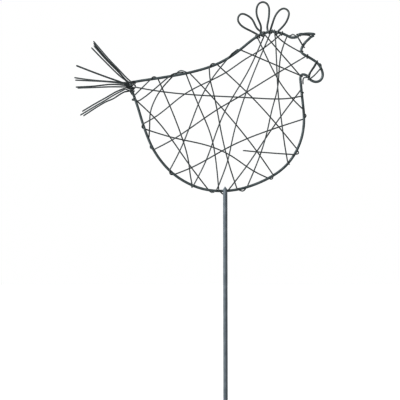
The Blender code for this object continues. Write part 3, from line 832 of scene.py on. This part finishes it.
# %% Binding and ties
BINDING = {
    "binding_wire_1": (
        Turn((70.8, 362.8), (61.7, 364.3), 110, BACK, 1.5),
        Via(56.1, 348.4), Via(51.6, 309.7), Via(46.9, 291.9), Via(41.8, 269.1), Via(35.8, 248.4),
        Turn((21.7, 212.9), (11.7, 210.5), BACK, FRONT, 1.0),
        Via(4.7, 231.6), Via(-2.8, 260.5), Via(-9.2, 293.8), Via(-12.0, 306.6), Via(-15.2, 319.7),
        Turn((-16.4, 332.9), (-8.4, 336.0), FRONT, BACK, 0.4),
        Via(29.2, 299.9),
        Turn((71.9, 250.9), (68.8, 245.3), BACK, FRONT, 1.2),
        Via(43.0, 247.1), Via(17.2, 249.4, -3.0),
    ),
    "binding_wire_2": (
        Turn((82.9, 343.0), (80.8, 344.1), 100, -282),
        Via(37.0, 317.6), Via(9.0, 300.5), Via(-4.5, 292.7), Via(-53.7, 259.8),
        Turn((-72.0, 250.4), (-77.1, 261.0), FRONT, BACK, 0.1, (0.0, 0.45)),
        Via(-75.9, 273.8), Via(-75.0, 288.2), Via(-73.0, 294.8), Via(-65.5, 309.0),
        Turn((-53.0, 324.1), (-36.3, 327.4), BACK, FRONT, 2.0),
        Via(-23.9, 314.3), Via(10.6, 275.1), Via(31.1, 248.9),
        Turn((47.7, 224.5), (42.5, 221.5), FRONT, BACK, 0.7),
        Via(28.5, 228.8), Via(5.1, 244.5), Via(-4.6, 249.5), Via(-15.8, 253.8), Via(-50.0, 261.8),
        Turn((-80.8, 270.7), (-82.6, 275.9), BACK, FRONT, 0.1),
        Via(-70.7, 282.7), Via(-40.2, 306.2), Via(0.3, 327.4), Via(19.1, 340.3), Via(36.6, 350.9),
        Turn((56.1, 366.7), (56.6, 366.5), FRONT, 400, 0.2),
    ),
    "binding_wire_3": (
        Turn((47.0, 368.4), (45.6, 368.4), -200, FRONT),
        Via(23.1, 313.9), Via(15.8, 293.2), Via(6.9, 260.8), Via(1.5, 237.1), Via(-4.4, 220.7),
        Via(-6.3, 215.9),
        Turn((-9.4, 209.1), (-17.4, 210.0), FRONT, BACK, 0.2),
        Via(-38.8, 238.9), Via(-46.9, 250.6), Via(-70.9, 282.0),
        Turn((-90.1, 299.9), (-90.9, 302.3), BACK, FRONT, 1.2),
        Via(-88.0, 299.0), Via(-84.7, 300.3), Via(-73.8, 308.5),
        Turn((-56.8, 323.5), (-51.0, 324.6), FRONT, 165, 0.3),
        Turn((-44.0, 325.9), (-39.8, 326.6), 180, BACK, 0.3),
        Via(-25.0, 290.3), Via(-16.8, 270.9), Via(-13.3, 259.6), Via(-10.5, 245.2),
        Turn((-6.6, 209.0), (2.5, 209.3), FRONT, BACK, 1.5),
        Via(21.2, 233.9), Via(44.9, 268.8),
        Turn((75.9, 310.3), (76.5, 303.8), BACK, FRONT, 0.0, (0.35, 0.35)),
        Via(68.0, 302.2), Via(29.5, 301.8), Via(-45.6, 306.2), Via(-88.2, 312.4),
        Via(-90.6, 312.9, -1.7),
    ),
    "binding_wire_4": (
        Via(-95.8, 308.8, 0.0), Via(-95.0, 308.0, 0.0),
        Turn((-92.6, 307.0), (-91.6, 304.0), 180, FRONT),
        Turn((-75.0, 320.7), (-67.6, 321.7), FRONT, BACK, 0.3),
        Via(-41.7, 256.9), Via(-37.1, 239.1), Via(-35.2, 224.9),
        Turn((-33.5, 214.8), (-32.2, 214.3), BACK, FRONT, 0.3),
        Via(-19.0, 240.6), Via(-11.8, 260.4), Via(-0.5, 288.9), Via(22.6, 328.9), Via(33.2, 351.5),
        Turn((39.4, 366.9), (38.0, 366.5), BACK, FRONT),
        Turn((75.2, 324.1), (75.4, 324.3), FRONT, BACK),
        Turn((14.9, 350.5), (12.4, 348.7), BACK, 180, 0.1),
        Turn((7.6, 345.1), (2.1, 341.6), 150, FRONT, 0.1),
        Via(-19.3, 312.1), Via(-35.0, 275.2), Via(-45.2, 250.3),
        Turn((-56.0, 229.6), (-51.2, 225.5), FRONT, BACK, 0.4),
        Via(-36.8, 231.2), Via(6.9, 254.7), Via(21.9, 261.5), Via(46.9, 270.8),
        Turn((78.4, 281.0), (77.8, 290.7), BACK, FRONT, 0.4, (0.0, 0.35)),
        Via(64.4, 303.8), Via(54.8, 316.8), Via(39.2, 346.7),
        Turn((31.2, 363.2), (30.4, 362.7), FRONT, 380),
    ),
    "binding_wire_5": (
        Turn((62.4, 236.5), (62.5, 236.6), 200, FRONT),
        Via(58.0, 262.7), Via(55.5, 282.1), Via(53.2, 299.7), Via(51.2, 331.8), Via(50.4, 350.9),
        Via(49.8, 360.9),
        Turn((49.0, 368.2), (48.3, 368.3), FRONT, BACK),
        Via(53.1, 362.4), Via(64.5, 353.9),
        Turn((75.9, 348.0), (75.7, 349.4), BACK, -20),
    ),
}

# The short length that ties the beak's two ends together and runs down behind them.
BEAK_TIE = (
    Via(84.9, 364.2, -1.4), Via(81.0, 364.9, -1.8), Via(77.5, 365.0, -1.8),
    Turn((75.0, 365.8), (72.0, 363.4), 45, -300),
    Turn((77.3, 354.0), (77.0, 353.4), 90, 150),
    Via(79.1, 352.3, -0.1),
)

# The short length that zigzags across the wattle, its first leg doubled.
WATTLE_TIE = (
    Via(77.5, 315.6, 0.0), Via(77.4, 319.2, 0.0), Via(77.9, 321.6, -0.3), Via(79.4, 322.5, -0.8),
    Via(81.0, 322.5, -1.3),
    Turn((82.3, 323.4), (82.2, 323.5), 120, 60),
    Via(84.2, 327.2), Via(86.9, 331.4), Via(89.7, 336.2),
    Turn((90.4, 338.2), (91.4, 337.4), FRONT, BACK),
    Via(90.5, 335.8), Via(87.6, 331.0), Via(84.9, 327.0),
    Turn((83.4, 321.8), (84.4, 320.8), BACK, FRONT),
    Via(87.5, 323.4), Via(91.3, 327.2),
    Turn((95.2, 331.9), (92.9, 335.8), FRONT, 215),
)

print("binding lengths:", len(BINDING))

# %% [markdown]
# ## The comb
# The comb is one length of wire with three petals. Its ends and the feet of the petals hook under
# the crown of the outline.

# %% Comb
COMB = (
    Turn((33.2, 364.5), (32.8, 364.3), -70, 130),
    Via(24.4, 369.3), Via(15.4, 374.7), Via(12.4, 381.4), Via(15.6, 385.8), Via(20.3, 385.1),
    Via(27.1, 379.7), Via(31.6, 371.4),
    Turn((37.2, 366.2), (35.3, 365.4), 130, -130),
    Via(35.5, 372.9), Via(32.0, 382.5), Via(31.0, 390.3), Via(33.7, 396.5), Via(38.2, 397.8),
    Via(42.4, 394.8), Via(43.6, 387.9), Via(42.6, 378.8), Via(41.7, 371.8),
    Turn((42.4, 367.9), (45.0, 368.4), 130, -130),
    Via(47.3, 377.5), Via(52.0, 387.5), Via(58.9, 391.4), Via(62.8, 388.7), Via(62.6, 382.2),
    Via(57.5, 373.6),
    Turn((52.2, 367.6), (50.8, 367.9), 130, -70),
)

print("comb places:", len(COMB))

# %% [markdown]
# ## The tail
# Six hairpins are hooked over the rear corner of the outline. Their legs fan out behind the hen,
# and each leg ends where the cutters left it.

# %% Tail
TAIL = {
    "tail_wire_1": (
        Via(-132.0, 358.6, -2.6), Via(-125.2, 350.6), Via(-115.6, 339.5), Via(-105.6, 329.1),
        Via(-97.3, 320.5), Via(-94.3, 318.0, -4.8),
        Turn((-91.1, 318.5), (-91.1, 318.5), HOOK, -HOOK),
        Via(-95.1, 317.0, 2.7), Via(-98.5, 319.2), Via(-106.6, 328.5), Via(-115.6, 337.8),
        Via(-132.2, 357.2, 3.9),
    ),
    "tail_wire_2": (
        Via(-134.0, 352.2, -3.4), Via(-122.5, 340.3), Via(-112.5, 330.3), Via(-105.5, 323.8),
        Via(-98.0, 318.3, -2.4), Via(-93.9, 316.9, -2.9), Via(-92.4, 316.4, -2.7),
        Via(-91.1, 315.1, -1.4), Via(-90.2, 314.1, 0.4), Via(-90.8, 312.2, 2.4),
        Via(-92.4, 311.5, 4.2), Via(-95.3, 309.4, 5.1), Via(-100.9, 308.3, 3.7),
        Via(-104.4, 306.6), Via(-113.0, 301.2), Via(-117.8, 299.2), Via(-127.3, 294.0),
        Via(-142.5, 284.1, 3.4),
    ),
    "tail_wire_3": (
        Via(-149.1, 334.2, -3.8), Via(-135.9, 329.1), Via(-113.9, 321.0), Via(-103.7, 317.4),
        Turn((-94.5, 314.1), (-94.5, 314.1), HOOK, -HOOK),
        Via(-98.0, 317.4, 1.5), Via(-105.3, 326.2), Via(-115.4, 336.4), Via(-131.8, 354.6, 1.9),
    ),
    "tail_wire_4": (
        Via(-150.1, 319.7, -3.0), Via(-130.5, 318.8), Via(-113.5, 317.6),
        Via(-101.2, 315.8, -4.3),
        Turn((-94.1, 312.3), (-94.1, 312.3), HOOK, -HOOK),
        Via(-99.9, 317.3, 1.7), Via(-113.7, 318.4), Via(-135.8, 320.3), Via(-151.4, 322.5, 3.0),
    ),
    "tail_wire_5": (
        Via(-147.8, 311.8, -2.6), Via(-127.4, 312.5), Via(-113.3, 313.0),
        Via(-100.6, 312.9, -3.2),
        Turn((-93.5, 310.3), (-93.5, 310.3), HOOK, -HOOK),
        Via(-100.3, 314.7, 2.3), Via(-113.5, 315.7), Via(-128.1, 314.3), Via(-150.0, 313.0, 2.6),
    ),
    "tail_wire_6": (
        Via(-145.1, 284.6, -3.6), Via(-127.6, 295.1), Via(-121.5, 298.6), Via(-114.6, 302.9),
        Via(-100.0, 310.7, -4.0),
        Turn((-93.0, 308.5), (-93.0, 308.5), HOOK, -HOOK),
        Via(-101.4, 311.6, 2.1), Via(-109.3, 308.4), Via(-118.1, 303.4), Via(-128.4, 297.6),
        Via(-143.6, 288.6, 3.0),
    ),
}

print("tail hairpins:", len(TAIL))

# %% [markdown]
# ## Settle all wires together
# Every wire is laid along its route first, and then all of them settle at once, with the outline
# and the rod held still.

# %% Lay and settle
routes = [("binding_" + name[-1], BINDING_RADIUS, route, name) for name, route in BINDING.items()]
routes += [
    ("beak_tie", BEAK_TIE_RADIUS, BEAK_TIE, "beak_tie_wire"),
    ("wattle_tie", WATTLE_TIE_RADIUS, WATTLE_TIE, "wattle_tie_wire"),
    ("comb", COMB_RADIUS, COMB, "comb_wire"),
]
for name, route in TAIL.items():
    radius = THICK_TAIL_RADIUS if name == THICK_TAIL_WIRE else TAIL_RADIUS
    routes.append(("tail_hairpin_" + name[-1], radius, route, name))
wires = [laid(route, hen, radius) + (radius,) for _, radius, route, _ in routes]
outline_points = np.concatenate([hen.points[:-1:4], hen.points[-1:]])
rod_line = np.array([(0.0, -HEN_DEPTH / MM, 0.0), (ROD_LEAN, -HEN_DEPTH / MM, ROD_TOP)])
for points, radius in ((outline_points, OUTLINE_RADIUS), (rod_line, ROD_RADIUS)):
    wires.append((points, np.zeros(len(points), bool), radius))
settled = settle(wires)
print("points settled:", sum(len(points) for points in settled))

# %% [markdown]
# ## Make every wire
# Each radius has a skin of a few hundredths of a millimetre added here. Its size isn't measured
# on a real wire: it was chosen so that the drawn wires are as wide and as dark as in the photo.

# %% Make the wires
SECTIONS = {  # sides, step, waver and skin, by the first word of the piece's name
    "hen": (24, 0.9, 0.0, 0.03), "comb": (18, 0.6, 0.04, 0.06), "tail": (16, 0.6, 0.16, 0.02),
    "beak": (14, 0.5, 0.05, 0.05), "wattle": (14, 0.5, 0.05, 0.05),
    "binding": (12, 0.6, 0.08, 0.04),
}

sides, step, waver, skin = SECTIONS["hen"]
pieces = [
    wire_piece("hen_outline", outline_points, OUTLINE_RADIUS + skin, sides, step, waver, 0,
               thick_steel, "outline_wire")
]
for seed, ((name, radius, _, node), points) in enumerate(zip(routes, settled), start=1):
    sides, step, waver, skin = SECTIONS[name.split("_")[0]]
    pieces.append(
        wire_piece(name, points, radius + skin, sides, step, waver, seed, thin_steel, node)
    )
faces = sum(len(piece.data.polygons) for piece in pieces)
print("wires:", len(pieces), "with", faces, "faces")

# %% [markdown]
# ## The rod
# The rod is a straight piece of bar, about 4 mm thick. Its lower end is cut off flat, where the
# ground would be. Its upper end narrows to a ridge, as bolt cutters leave it when they squeeze a
# bar from both sides. So a finely ringed bar is cut by two planes.

# %% The cropped rod
ROD_SIDES = 48
ROD_RINGS = 44
OUT_OF_ROUND = 0.02
OUT_OF_ROUND_WAVES = 0.21  # radians for each millimetre of height
PAST_THE_TOP = 2.0  # the bar is this much too long before it is cropped
RIDGE_ANGLE = math.radians(28)
CROPS = (
    ((-2.4, 0.0, 210.6), (-0.86, 0.0, 0.52)),
    ((1.7, 0.0, 210.4), (0.83, 0.0, 0.56)),
)


def rod_mesh():
    mesh = bmesh.new()
    rings = []
    for height in np.linspace(0.0, ROD_TOP + PAST_THE_TOP, ROD_RINGS):
        radius = ROD_RADIUS + OUT_OF_ROUND * math.sin(height * OUT_OF_ROUND_WAVES)
        lean = ROD_LEAN * height / ROD_TOP
        turns = [2 * math.pi * i / ROD_SIDES for i in range(ROD_SIDES)]
        rings.append([
            mesh.verts.new(
                ((radius * math.cos(a) + lean) * MM, radius * math.sin(a) * MM, height * MM)
            )
            for a in turns
        ])
    for lower, upper in zip(rings, rings[1:]):
        for i in range(ROD_SIDES):
            k = (i + 1) % ROD_SIDES
            mesh.faces.new((lower[i], lower[k], upper[k], upper[i]))
    mesh.faces.new(rings[0][::-1])
    mesh.faces.new(rings[-1])
    for point, normal in CROPS:
        whole = list(mesh.verts) + list(mesh.edges) + list(mesh.faces)
        cut = bmesh.ops.bisect_plane(
            mesh, geom=whole, plane_co=[v * MM for v in point], plane_no=normal, clear_outer=True
        )
        rim = [edge for edge in cut["geom_cut"] if isinstance(edge, bmesh.types.BMEdge)]
        bmesh.ops.edgeloop_fill(mesh, edges=rim)
    bmesh.ops.recalc_face_normals(mesh, faces=list(mesh.faces))
    data = bpy.data.meshes.new("stake")
    mesh.to_mesh(data)
    mesh.free()
    return data


def place_attributes(data):
    """The rod and the weld read their own coordinates where a wire reads its route's."""
    flat = np.empty(len(data.vertices) * 3)
    data.vertices.foreach_get("co", flat)
    data.attributes.new("wire_place", "FLOAT_VECTOR", "POINT").data.foreach_set("vector", flat)
    data.attributes.new("bend", "FLOAT", "POINT")


stake_data = rod_mesh()
place_attributes(stake_data)
stake_data.materials.append(rod_steel)
stake_data.shade_smooth()
stake_data.set_sharp_from_angle(angle=RIDGE_ANGLE)
stake = put_in_scene("stake", stake_data)
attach(stake, "root")
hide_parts("stake_rod")
print("rod faces:", len(stake_data.polygons))

# %% [markdown]
# ## The weld
# How the rod is joined to the outline can't be seen, so a small tack weld is assumed behind the
# rod's upper end. It is a lump of steel in the corner between the two: a ball, drawn out along the
# outline wire and roughened. It fills the hair's breadth between rod and wire.

# %% The weld bead
WELD_PLACE = (ROD_LEAN, 2.35, 209.25)
WELD_HALF = (2.45, 0.95, 1.35)
WELD_LUMPS = 0.14


def weld_mesh():
    mesh = bmesh.new()
    bmesh.ops.create_icosphere(mesh, subdivisions=4, radius=1.0)
    for vert in mesh.verts:
        x, y, z = vert.co
        lump = math.sin(5.1 * x + 1.3) * math.sin(4.3 * z + 0.4) + 0.6 * math.sin(9.7 * x + 3.1 * y)
        ripple = 0.35 * math.sin(17.0 * x)
        swell = 1.0 + WELD_LUMPS * (0.6 * lump + ripple * 0.5)
        vert.co = [
            (place + half * swell * at) * MM
            for place, half, at in zip(WELD_PLACE, WELD_HALF, (x, y, z))
        ]
    data = bpy.data.meshes.new("stake_weld")
    mesh.to_mesh(data)
    mesh.free()
    return data


weld_data = weld_mesh()
place_attributes(weld_data)
weld_data.materials.append(rod_steel)
weld_data.shade_smooth()
weld = put_in_scene("stake_weld", weld_data)
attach(weld, "root")
print("weld faces:", len(weld_data.polygons))
